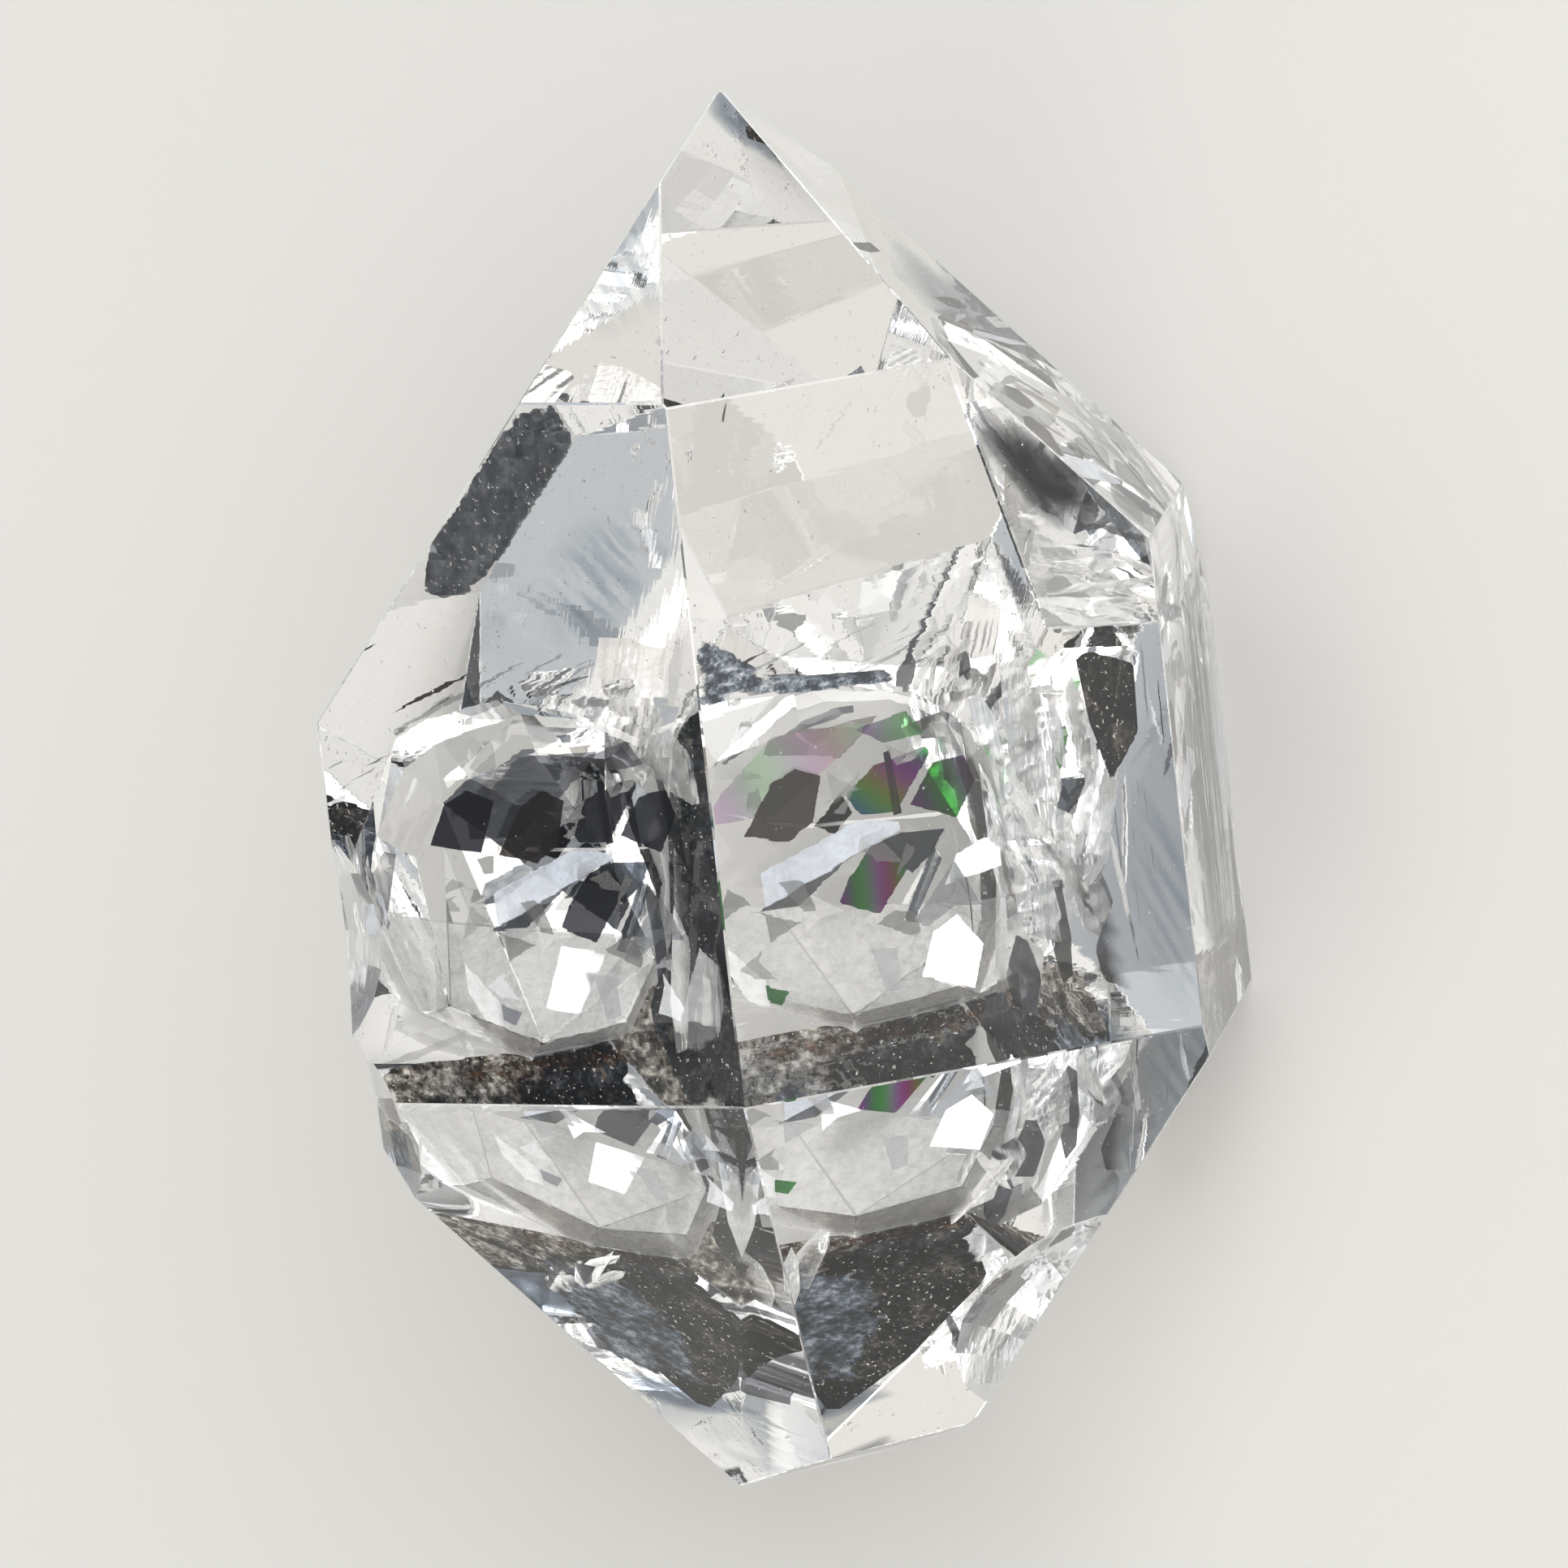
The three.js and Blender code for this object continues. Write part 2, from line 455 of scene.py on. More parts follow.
# %% Outlines and ripples
SKIN = 0.02  # mm, the least depth of a sheet below the surface
RED, GREEN, BLUE = 610.0, 540.0, 460.0  # nm, the wavelengths that stand for the three colours


def newton_colours(gap):
    """Reflected interference colours of an air film: sin^2(2 pi gap / wavelength)."""
    return np.stack([np.sin(2 * np.pi * gap / wave) ** 2 for wave in (RED, GREEN, BLUE)], axis=-1)


def is_inside(points, least):
    """Whether each point lies at least this far below the crystal's surface, mm."""
    inside = []
    for point in map(Vector, points):
        place, normal, _, distance = INSIDE.find_nearest(point)
        inside.append((point - place).dot(normal) < 0 and distance > least * MM)
    return np.array(inside)


def basis(normal, turn):
    """Two unit vectors in a sheet: along, turned this far up from level, and across."""
    level = np.cross(C_AXIS, normal)
    level = level / np.linalg.norm(level)
    rise = np.cross(normal, level)
    angle = math.radians(turn)
    along = level * math.cos(angle) + rise * math.sin(angle)
    return along, rise * math.cos(angle) - level * math.sin(angle)


def ragged_rim(angle, random):
    """Radius 1 + 0.2 * (sines of 2, 3, 5, 9 and 17 times the angle, each weaker)."""
    return 1 + 0.2 * sum(np.sin(k * angle + random.uniform(0, 6.28)) / k**0.8 for k in (2, 3, 5, 9, 17))


def shard_rim(angle, random):
    """A polygon of six straight edges: the least of d / cos(angle - its direction)."""
    turns = np.arange(6) * math.pi / 3 + random.uniform(-0.4, 0.4, 6)
    reach = random.uniform(0.6, 1.0, 6)
    edges = reach[:, None] / np.maximum(np.cos(angle[None] - turns[:, None]), 0.05)
    return np.minimum(edges.min(axis=0), 1.2)


def outline(corners):
    """The rim of a given polygon about (0, 0): where the ray at each angle crosses an edge."""
    start = np.array(corners, float)
    step = np.roll(start, -1, axis=0) - start

    def rim(angle, random):
        ray = np.stack([np.cos(angle), np.sin(angle)])[:, :, None]
        cross = ray[0] * step[:, 1] - ray[1] * step[:, 0]
        reach = (start[:, 0] * step[:, 1] - start[:, 1] * step[:, 0]) / cross
        share = (start[:, 0] * ray[1] - start[:, 1] * ray[0]) / cross
        hit = (reach > 0) & (share > -1e-6) & (share < 1 + 1e-6)
        return np.where(hit, reach, np.inf).min(axis=1)

    return rim


def streaks(along, across, height, length, waves):
    """Ripples mostly across the sheet: eight sines, unlike in lean, length and phase.

    Each of the waves is three random numbers. The lean runs from -0.35 to 0.35 radians, and
    the pitch from the length / 2 to twice the length.
    """
    total = 0
    for lean, stretch, phase in waves:
        lean, pitch = 0.7 * lean - 0.35, length / (0.5 + 1.5 * stretch)
        forward = along * math.cos(lean) + across * math.sin(lean)
        total = total + np.sin(2 * np.pi * (forward / pitch + phase))
    return height * total / len(waves)**0.5


# %% Sheets
RINGS, SPOKES = 14, 72
HALVINGS = 6  # how often the end of a spoke is narrowed down
WAVES = 8  # the sines of a sheet's ripples


def spoke_ends(reaches, shares):
    """The largest share of each spoke that still lies inside the quartz, or None."""
    inside = reaches(shares)
    if not inside[0, 0]:
        return None
    low = np.where(inside.all(axis=0), RINGS, inside.argmin(axis=0) - 1) / RINGS
    high = np.minimum(low + 1 / RINGS, 1.0)
    low = np.maximum(low, 0.0)
    for _ in range(HALVINGS):
        middle = (low + high) / 2
        good = reaches(middle)[0]
        low, high = np.where(good, middle, low), np.where(good, high, middle)
    return low


def web():
    """The faces of a sheet: triangles about its middle point, then rings of four-sided faces."""
    spoke = np.arange(SPOKES)
    after = (spoke + 1) % SPOKES
    faces = np.stack([0 * spoke, 1 + spoke, 1 + after], axis=1).tolist()
    for ring in range(RINGS - 1):
        near, far = 1 + ring * SPOKES, 1 + (ring + 1) * SPOKES
        faces += np.stack([near + spoke, far + spoke, far + after, near + after], axis=1).tolist()
    return faces


def sheet(centre, normal, half, turn=0.0, bend=0.0, ripple=(0.0, 1.0), rim=ragged_rim,
          gap=(300.0, 0.0, 0.0), light=(0.0, 1.0), seed=0, probe=0.0):
    """One bent and rippled sheet through a point of the crystal.

    With u, v in -1..1 along the two half widths (mm), the sheet stands off its plane by
    bend (u^2 + v^2) and by its streaks. Its air gap is gap[0] + gap[1] w in nm, where w is the
    distance (mm) in the direction gap[2] (degrees), and its interference colours run between
    the two shares of light. A sheet outside a face is tested this far (probe, mm) below itself.
    """
    random = np.random.default_rng(seed)
    normal = np.asarray(normal, float) / np.linalg.norm(normal)
    along, across = basis(normal, turn)
    angle = np.arange(SPOKES) * 2 * np.pi / SPOKES
    edge = rim(angle, random)
    waves = random.random((WAVES, 3))

    def place(share):
        u = (share * edge * np.cos(angle) * half[0]).ravel()
        v = (share * edge * np.sin(angle) * half[1]).ravel()
        stand = bend * ((u / half[0]) ** 2 + (v / half[1]) ** 2) + streaks(u, v, *ripple, waves)
        points = np.asarray(centre) + np.outer(u, along) + np.outer(v, across) + np.outer(stand, normal)
        return points, u, v

    def reaches(share):
        return is_inside(to_row(place(share)[0] - normal * probe), SKIN).reshape(-1, SPOKES)

    shares = np.arange(RINGS + 1)[:, None] / RINGS * np.ones(SPOKES)
    ends = spoke_ends(reaches, shares)
    if ends is None:
        return None
    points, u, v = place(shares[1:] * ends)
    middle_point, _, _ = place(np.zeros(SPOKES))
    slope = math.radians(gap[2])
    w = np.concatenate([[0.0], u * math.cos(slope) + v * math.sin(slope)])
    tint = light[0] + (light[1] - light[0]) * newton_colours(gap[0] + gap[1] * w)
    return {
        "points": to_row(np.vstack([middle_point[:1], points])),
        "faces": web(),
        "cover": np.concatenate([[1.0], 1 - (shares[1:] * ends).ravel()]),
        "tint": np.c_[tint, np.ones(len(w))],
    }


def build(name, material, sheets):
    """One object of several sheets, without those whose centre lies outside the quartz."""
    sheets = [part for part in sheets if part]
    starts = np.cumsum([0] + [len(part["points"]) for part in sheets])
    faces = [[start + i for i in face] for start, part in zip(starts, sheets) for face in part["faces"]]
    surface = bpy.data.meshes.new(name)
    surface.from_pydata(np.vstack([part["points"] for part in sheets]), [], faces)
    for key, kind, field in (("cover", "FLOAT", "value"), ("tint", "FLOAT_COLOR", "color")):
        values = np.concatenate([part[key].ravel() for part in sheets])
        surface.attributes.new(key, kind, "POINT").data.foreach_set(field, values)
    surface.shade_smooth()
    surface.materials.append(material)
    piece(surface, name)
    print(name, "sheets", len(sheets), "faces", len(faces))


def on_face(face, point, depth):
    """The point moved along the face's normal to lie this far below the face, mm."""
    normal, distance = PLANE[face]
    point = np.asarray(point, float)
    return point + normal * (distance - depth - point @ normal)


# %% [markdown]
# ## Films on the back faces
# The crystal grew against clay and bitumen, and its back faces kept some of it. A film just
# inside a face shows to every ray. One on the outside shows only where light leaves the
# quartz there, because the air under it mirrors the rest. The grey film on the lower right
# face is painted shade: it stands in for the dark floor seen through that face.

# %% Film materials
SLATE = [(0.42, "#060607"), (0.5, "#1c1d20"), (0.56, "#41454b"), (0.62, "#6d6457")]
BROWN = [(0.4, "#17120f"), (0.49, "#3d2e24"), (0.55, "#7a4d2b"), (0.62, "#a59d92")]
CLAY = [(0.42, "#25211f"), (0.48, "#676058"), (0.54, "#aaa399"), (0.6, "#efeae0")]
INK = [(0.42, "#020203"), (0.5, "#141417"), (0.56, "#393734"), (0.62, "#6b6259")]
MOTTLE = [(0.42, "#2a2d32"), (0.5, "#4b525b"), (0.56, "#737c86"), (0.62, "#a3a9b0")]
RIM_MOTTLE = [(0.44, "#39414c"), (0.5, "#67727f"), (0.55, "#a4aeb9"), (0.6, "#e3e7ec")]
PAINTED_SHADE_GREYS = [(0.42, "#4b4f55"), (0.52, "#6d7177"), (0.62, "#999b9e")]
# Painted shade: the greys of the film on the lower right face.
PALE_GREY = [(0.35, "#8f99a4"), (0.65, "#cdd3da")]
DARK_STREAKS = [(0.45, "#1f1f22"), (0.56, "#d6d9dc")]
SLATE_STREAKS = [(0.4, "#4b4e54"), (0.62, "#8a8d92")]
FAINT_LINES = [(0.44, "#e9edf0"), (0.56, "#ffffff")]

slate_film = film("bitumen and clay film", SLATE, 1.3, 0.6, 0.9, white_specks=0.05)
ink_film = film("bitumen film", INK, 0.9, 0.62, 0.9, white_specks=0.06)
brown_film = film("brown clay film", BROWN, 2.3, 0.4, 0.35, white_specks=0.08)
clay_film = film("mottled clay film", CLAY, 1.6, 0.6, 0.9, white_specks=0.05)
speckle_film = film("speckled bitumen", SLATE, 6.2, 0.36, 0.08)
black_film = film("black bitumen", INK, 0.9, 0.9, 0.6, white_specks=0.06, slant=(0.36, 0.46))
mottled_film = film("mottled slate clay", MOTTLE, 1.5, 0.46, 0.5)
rim_film = film("mottled slate clay by the imprint", RIM_MOTTLE, 2.6, 0.5, 0.5, slant=(0.34, 0.42))
# Painted shade, not clay: this film darkens the view of the floor through the lower right face.
right_painted_shade = film("slate clay", PAINTED_SHADE_GREYS, 1.7, 0.56, 1.2, white_specks=0.07, slant=(0.25, 0.4))
pale_veil = veil("thin pale veil", PALE_GREY, (1.2, 1.2, 1.2))
streaked_veil = veil("thin dark streaks", DARK_STREAKS, (4.2, 0.35, 4.2))
striped_veil = veil("thin slate veil", SLATE_STREAKS, (5.2, 0.3, 0.3))
growth_lines = veil("faint growth lines", FAINT_LINES, (4.2, 0.33, 0.33), -34.0)

# %% Films with a ragged round rim
CONTACT = 0.03  # mm, the depth of a film that touches the quartz
FILMS = [  # name, material, face, place, half sizes, turn
    ("lower_back_band", slate_film, "qBL", (-0.5, 6.2, -4.4), (1.2, 0.72), 0),
    ("lower_left_band", clay_film, "qBL", (-3.0, 5.3, -4.5), (1.8, 0.75), 0),
    ("lower_back_veil", pale_veil, "qBL", (-2.8, 4.9, -5.5), (1.8, 1.6), -20),
    ("right_streaks", streaked_veil, "mR", (6.0, -0.7, -0.3), (2.6, 4.2), 0),
    ("foot_growth_lines", growth_lines, "mBR", (4.3, 3.9, -2.4), (1.3, 2.0), 0),
    ("lower_tip_veil", pale_veil, "qBL", (-1.4, 2.9, -7.5), (1.3, 0.45), 0),
    ("lower_back_brown", brown_film, "qBL", (-1.2, 6.0, -4.05), (3.0, 0.22), 0),
    ("rim_speckle_film", speckle_film, "pBL", (-0.8, 3.9, 1.65), (1.4, 0.22), 0),
]
for seed, (name, material, face, place, half, turn) in enumerate(FILMS):
    build(name, material, [sheet(on_face(face, place, CONTACT), PLANE[face][0], half, turn, seed=seed)])

# %% Films with a given outline
AIR = 0.006  # mm, between a face and the films laid on its outside
UPPER_AIR = AIR + 0.003  # mm, for a film laid over another
PROBE_DEPTH = 0.05  # mm, where an outlined film is tested for quartz
PATCH_SEED = 31
PATCHES = [  # name, material, face, depth, corners
    ("lower_back_film", ink_film, "qBL", CONTACT, [
        (-1.6, 5.6, -4.3), (0.6, 6.3, -4.5), (0.9, 5.7, -5.3), (0.4, 5.0, -6.1),
        (-0.1, 4.1, -6.9), (-1.1, 2.9, -7.9), (-1.5, 3.4, -7.2), (-1.8, 4.6, -5.3)]),
    ("lower_back_mottle", mottled_film, "qBL", 0.045, [
        (-2.4, 5.3, -4.6), (-1.2, 5.8, -4.5), (-0.6, 4.9, -5.9), (-0.9, 3.6, -7.4),
        (-2.1, 3.2, -7.0), (-2.7, 4.3, -5.6)]),
    ("upper_right_veil", striped_veil, "pBR", CONTACT, [
        (1.9, 2.0, 5.1), (2.3, 2.7, 4.2), (2.9, 3.3, 3.3), (3.4, 3.1, 3.1),
        (3.9, 2.3, 3.5), (3.7, 1.7, 4.1), (2.8, 1.5, 4.9)]),
    # Painted shade on the lower right face, standing in for the dark floor seen through it.
    ("right_painted_shade_film", right_painted_shade, "qR", -AIR, [
        (6.3, 1.7, -4.0), (5.9, 1.6, -4.6), (5.1, 2.15, -5.5), (4.8, 2.4, -5.9),
        (4.5, 2.55, -6.35), (4.2, 3.1, -6.8), (4.3, 3.6, -6.6), (5.8, 3.1, -4.9),
        (6.4, 2.5, -4.0)]),
    ("foot_dark_film", slate_film, "mBR", -AIR, [
        (1.35, 6.1, -4.8), (0.9, 6.4, -3.4), (1.35, 6.1, -2.4), (1.5, 6.0, -0.6),
        (1.8, 5.8, 1.0), (2.5, 5.3, 1.0), (2.5, 5.3, -4.8)]),
    ("foot_low_film", clay_film, "mBR", -UPPER_AIR, [
        (0.3, 6.9, -4.8), (0.3, 6.9, -3.5), (0.8, 6.5, -3.0), (1.3, 6.1, -3.1), (1.5, 6.0, -4.8)]),
    ("foot_brown_film", brown_film, "mBR", -UPPER_AIR, [
        (1.5, 6.0, -1.4), (1.5, 6.0, 0.4), (2.1, 5.6, 0.5), (2.2, 5.5, -1.2)]),
    ("rim_slate_corner", rim_film, "pBL", CONTACT, [
        (-2.45, 2.5, 2.45), (-2.1, 2.9, 2.1), (-1.75, 3.4, 1.75), (-1.5, 3.8, 1.35),
        (-2.1, 3.55, 1.4), (-2.7, 3.4, 1.35)]),
    ("rim_slate_band", rim_film, "pBL", 0.04, [
        (-1.9, 3.4, 1.7), (-1.0, 3.95, 1.5), (-0.4, 4.25, 1.4), (0.2, 4.55, 1.3),
        (0.2, 4.65, 1.15), (-0.6, 4.3, 1.22), (-1.5, 3.85, 1.3)]),
]


def patch(name, material, face, depth, corners, seed):
    """A sheet on a face, with the outline of these points, which are laid onto the face."""
    normal = PLANE[face][0]
    points = np.array([on_face(face, corner, depth) for corner in corners])
    centre = points.mean(axis=0)
    flat = (points - centre) @ np.stack(basis(normal, 0.0), axis=1)
    probe = max(0.0, PROBE_DEPTH - depth)
    build(name, material, [sheet(centre, normal, (1, 1), rim=outline(flat), seed=seed, probe=probe)])


for number, row in enumerate(PATCHES):
    patch(*row, seed=PATCH_SEED + number)

# %% The black plate
PLATE = [(0.38, 0.8), (0.14, 0.9), (-0.78, 0.7), (-0.72, -0.3), (-0.08, -0.95), (0.24, -0.1)]
PLATE_CENTRE = on_face("mBR", (3.2, 4.7, 0.3), CONTACT)
build("foot_black_plate", black_film, [
    sheet(PLATE_CENTRE, PLANE["mBR"][0], (1, 1), rim=outline(PLATE), seed=34)])

# %% [markdown]
# ## The imprint's facets
# The neighbour crystal left many small facets. Each is a flat polygon of x, z corners, on a
# plane just in front of the imprint. Dark and clear ones pass a share of the light behind
# them, snowy ones scatter it, and glints show in one of the two front windows only. The grey
# and dark tints are painted shade: they stand in for the shade seen in the imprint.

# %% Facet tables
FACET_PLANE = (4.22, 0.12)  # y = 4.22 + 0.12 x, mm
# Painted shade: the grey and dark colours darken the view through the imprint.
SHADED_FACETS = {  # distance in front of that plane, mm, colour of the light it passes, and corners
    "bar_shadow": (0, "#6a6d72", [(-2.2, -1.82), (-0.02, -0.95), (-0.85, -1.3), (-1.6, -1.84)]),
    "rim_shadow": (0, "#85898f", [
        (-2.6, 0.1), (-1.7, 0.72), (-1.15, 0.95), (-0.45, 0.92), (-0.45, 0.82), (-1.13, 0.82),
        (-1.66, 0.58)]),
    "dark_left": (2.0, "#3a3940", [
        (-3.62, -0.28), (-3.3, 0.29), (-2.89, 0.46), (-2.42, 0.29), (-2.75, -0.46)]),
    "dark_middle": (0.9, "#4e4847", [
        (-2.16, -0.63), (-1.67, 0.07), (-1.29, 0.25), (-0.92, 0.08), (-1.11, -0.56), (-1.5, -0.79)]),
    "black_wedge": (0, "#17171b", [(-1.24, -0.72), (-0.78, -0.3), (-0.63, -0.59), (-0.93, -0.87)]),
    "blue_black": (0, "#30343c", [(-0.08, 0.2), (0.02, 0.24), (0.1, -0.7), (-0.03, -0.72)]),
    "shaded_sector": (0, "#4c5158", [
        (-0.4, -1.12), (0.05, -0.97), (0.71, -1.02), (0.49, -1.34), (0.16, -1.59)]),
    "shaded_stripe": (0, "#6f757d", [(0.51, -1.23), (0.62, -1.45), (0.1, -2.3), (-0.05, -2.26)]),
    "lower_right": (0, "#b9bcc0", [
        (0.8, -1.5), (1.15, -2.2), (0.75, -2.15), (0.3, -2.4), (0.1, -2.3)]),
    "upper_right": (0, "#8d8f93", [
        (0.9, 0.55), (1.1, 0.05), (1.28, -0.5), (1.35, -1.2), (1.15, -0.85), (1.0, -0.1)]),
    "top_grey": (0, "#b5b2ae", [(-1.6, 0.7), (-0.1, 0.75), (-0.7, 0.2), (-1.2, 0.25), (-1.8, 0.3)]),
}
SNOWY_FACETS = {
    "bar": (0, "#e6edf8", [
        (-2.1, -1.27), (-0.55, -0.72), (0.04, -0.84), (0.05, -0.93), (-2.08, -1.79)]),
    "white_low": (0, "#ffffff", [
        (-2.74, -2.25), (-2.2, -2.86), (-2.18, -3.22), (-2.47, -3.12), (-2.73, -2.67)]),
}
FACE_ON_GLINTS = {
    "white_right": (0, "#e7e7e7", [
        (0.62, -1.84), (0.85, -1.4), (1.3, -1.22), (1.5, -1.4), (1.5, -1.67)]),
    "white_quad": (0.75, "#e7e7e7", [
        (0.25, -3.02), (0.48, -2.4), (0.87, -2.21), (1.21, -2.68), (1.01, -3.3)]),
}
ASLANT_GLINTS = {
    "white_left": (0, "#e7e7e7", [(-1.01, -2.12), (-0.25, -2.3), (-0.84, -3.15), (-1.39, -2.99)]),
    "white_step": (0, "#e7e7e7", [(-0.55, -0.95), (-0.15, -0.88), (-0.25, -1.35), (-0.62, -1.15)]),
}
BEVELS = {
    "rim_top": (0, "#ffffff", [
        (-2.75, 0.54), (-1.35, 1.29), (0.1, 1.07), (0.75, 0.78), (0.75, 0.64), (0.1, 0.94),
        (-1.35, 1.12), (-2.7, 0.38)]),
    "thin_ridge": (0, "#ffffff", [
        (-2.6, -0.47), (-1.3, -0.68), (0.6, -0.78), (1.25, -0.72), (0.6, -0.83), (-1.3, -0.74)]),
    "stripe_1": (0, "#ffffff", [(0.3, -1.55), (0.4, -1.5), (-0.08, -2.2), (-0.2, -2.2)]),
    "stripe_2": (0, "#ffffff", [(0.55, -1.3), (0.6, -1.36), (0.16, -2.24), (0.06, -2.22)]),
}


# %% Facets
def flat_polygons(name, material, polygons):
    """One mesh of flat polygons, each given as a hex colour and its corners."""
    vertices, faces, tints = [], [], []
    for colour, corners in polygons:
        faces.append(list(range(len(vertices), len(vertices) + len(corners))))
        vertices += [tuple(corner) for corner in corners]
        tints += linear(colour) * len(corners)
    surface = bpy.data.meshes.new(name)
    surface.from_pydata(to_row(vertices), [], faces)
    surface.attributes.new("tint", "FLOAT_COLOR", "POINT").data.foreach_set("color", tints)
    surface.materials.append(material)
    piece(surface, name)
    print(name, "polygons", len(faces))


def before_imprint(x, forward, z):
    """The point at x, z on the plane that lies this far before the facets' plane."""
    return x, FACET_PLANE[0] - forward + FACET_PLANE[1] * x, z


def facets(name, material, table):
    """The flat polygons of a table, on planes before the imprint."""
    flat_polygons(name, material, [
        (colour, [before_imprint(x, forward, z) for x, z in corners])
        for forward, colour, corners in table.values()])


FACET_SPREAD = ((-2.5, 1.0), (-3.3, 0.8))  # mm, the small facets' least and most x, and z
FACET_REACH = (0.12, 0.5)  # mm, from the middle of a small facet to its corners
# Painted shade: the small facets' greys darken the view through the imprint.
FACET_SHADES = [165, 200, 225, 245]  # of 255


def small_facets(count, seed):
    """Small five-sided facets, spread at random before the imprint, each a little darkened."""
    random = np.random.default_rng(seed)
    table = {}
    for index in range(count):
        x, z = (random.uniform(*limits) for limits in FACET_SPREAD)
        angle = np.sort(random.uniform(0, 2 * np.pi, 5))
        reach = random.uniform(*FACET_REACH, 5)
        shade = f"{int(random.choice(FACET_SHADES)):02x}"
        corners = list(zip(x + reach * np.cos(angle), z + reach * np.sin(angle)))
        table[index] = (0.1 + 0.02 * index, "#" + 3 * shade, corners)
    return table


# %% The imprint's powdery floor, partly painted light
POWDER_TOP = np.array([0.0, 0.0, -2.1])  # mm, the floor of the imprint is powdery below this
POWDER_LEAN = np.array([0.15, 0.0, 1.0])  # across the line where the powder ends
IMPRINT_LOW = (-4.0, 3.8, -3.95)  # mm, the box of the imprint's lower facets
IMPRINT_HIGH = (1.5, 7.0, -1.0)
OVERHANG = 0.1  # the floor's normals rise by more than this, the outer faces' don't
SHRINK = 0.02  # share by which each facet is drawn in to its middle


def imprint_floor():
    """The imprint's own facets below the powder's top, drawn in a little and moved inwards."""
    shape = bmesh.new()
    shape.from_mesh(mesh)
    bmesh.ops.bisect_plane(shape, geom=[*shape.verts, *shape.edges, *shape.faces], clear_outer=True,
                           plane_co=to_row(POWDER_TOP), plane_no=TURN @ POWDER_LEAN)
    polygons = []
    for face in shape.faces:
        centre = to_crystal(np.array(face.calc_center_median()))
        normal = TURN.T @ np.array(face.normal)
        boxed = (centre > IMPRINT_LOW).all() and (centre < IMPRINT_HIGH).all()
        if boxed and normal[2] > OVERHANG:
            corners = to_crystal(np.array([vertex.co for vertex in face.verts]))
            polygons.append(("#ffffff", corners + SHRINK * (centre - corners) - CONTACT * normal))
    shape.free()
    return polygons


# The tinted facets and small facets carry painted shade.
facets("imprint_shaded_facets", tinted("facet of the imprint with painted shade", 0.12, 0.02), SHADED_FACETS)
facets("imprint_small_shaded_facets", tinted("small facet of the imprint with painted shade", 0.2, 0.02), small_facets(22, seed=5))
facets("imprint_snowy_facets", snowy("snowy break", 1.0), SNOWY_FACETS)
# Partly painted light: the powder's white also stands in for the bright floor seen through the imprint.
powder = snowy("powdery floor of the imprint with painted light", 0.75, shine=0.55)
flat_polygons("imprint_powder_and_painted_light", powder, imprint_floor())
facets("imprint_glints", glint("bright face of a break", 0.05, 0.02), FACE_ON_GLINTS)
facets("imprint_side_glints", glint("bright side of a break", 0.02, 0.05), ASLANT_GLINTS)
facets("imprint_bevels", tinted("bevel of the imprint", 0.4, 0.1), BEVELS)

# %% [markdown]
# ## Air wedges
# Thin air in a crack shows interference colours, which follow the thickness of the film.

# %% Air wedges
# The second colour of each film is painted shade, shown a little aslant.
vivid_film = iridescent("thin air film in quartz", "#3c3d44")
pale_film = iridescent("thinner air film in quartz", "#8b8d92")
FACET_NORMAL = (FACET_PLANE[1], -1.0, 0.0)
WEDGES = [  # name, material, (x, distance before the facets' plane, z), gap, light, corners
    ("rainbow_wedge_1", vivid_film, (-0.05, 0.01, -0.22), (740, 230, 50), (0.01, 0.2),
     [(-0.69, -0.1), (-0.22, 0.23), (0.6, 0.43), (0.68, 0.34), (0.06, -0.46), (-0.46, -0.43)]),
    ("rainbow_wedge_2", vivid_film, (0.83, 0.01, -0.38), (950, 230, 20), (0.01, 0.14),
     [(-0.19, 0.34), (0.28, 0.39), (0.41, 0.0), (0.08, -0.51), (-0.6, -0.22)]),
    ("rainbow_wedge_3", vivid_film, (-0.43, 0.01, -1.6), (1010, 380, 0), (0.01, 0.18),
     [(-0.39, 0.03), (0.03, 0.5), (0.54, 0.1), (0.04, -0.51), (-0.55, -0.27)]),
    ("pale_wedge_1", pale_film, (-1.4, 0.7, 0.3), (1000, 160, 20), (0.6, 0.8),
     [(-1.2, -0.4), (-0.2, 0.43), (1.3, 0.44), (0.6, -0.1), (-0.3, -0.7), (-1.2, -0.7)]),
    ("green_wedge", pale_film, (0.1, 0.5, 0.6), (880, 120, 0), (0.2, 0.45),
     [(-0.5, 0.05), (0.3, 0.2), (0.55, -0.15), (-0.1, -0.2)]),
    ("green_sliver", pale_film, (-2.05, 0.1, -3.04), (900, 20, 0), (0.05, 0.25),
     [(-0.15, 0.16), (0.2, 0.01), (0.06, -0.18), (-0.14, -0.08)]),
]
for name, material, place, gap, light, corners in WEDGES:
    wedge = sheet(before_imprint(*place), FACET_NORMAL, (1, 1), rim=outline(corners), gap=gap, light=light)
    build(name, material, [wedge])
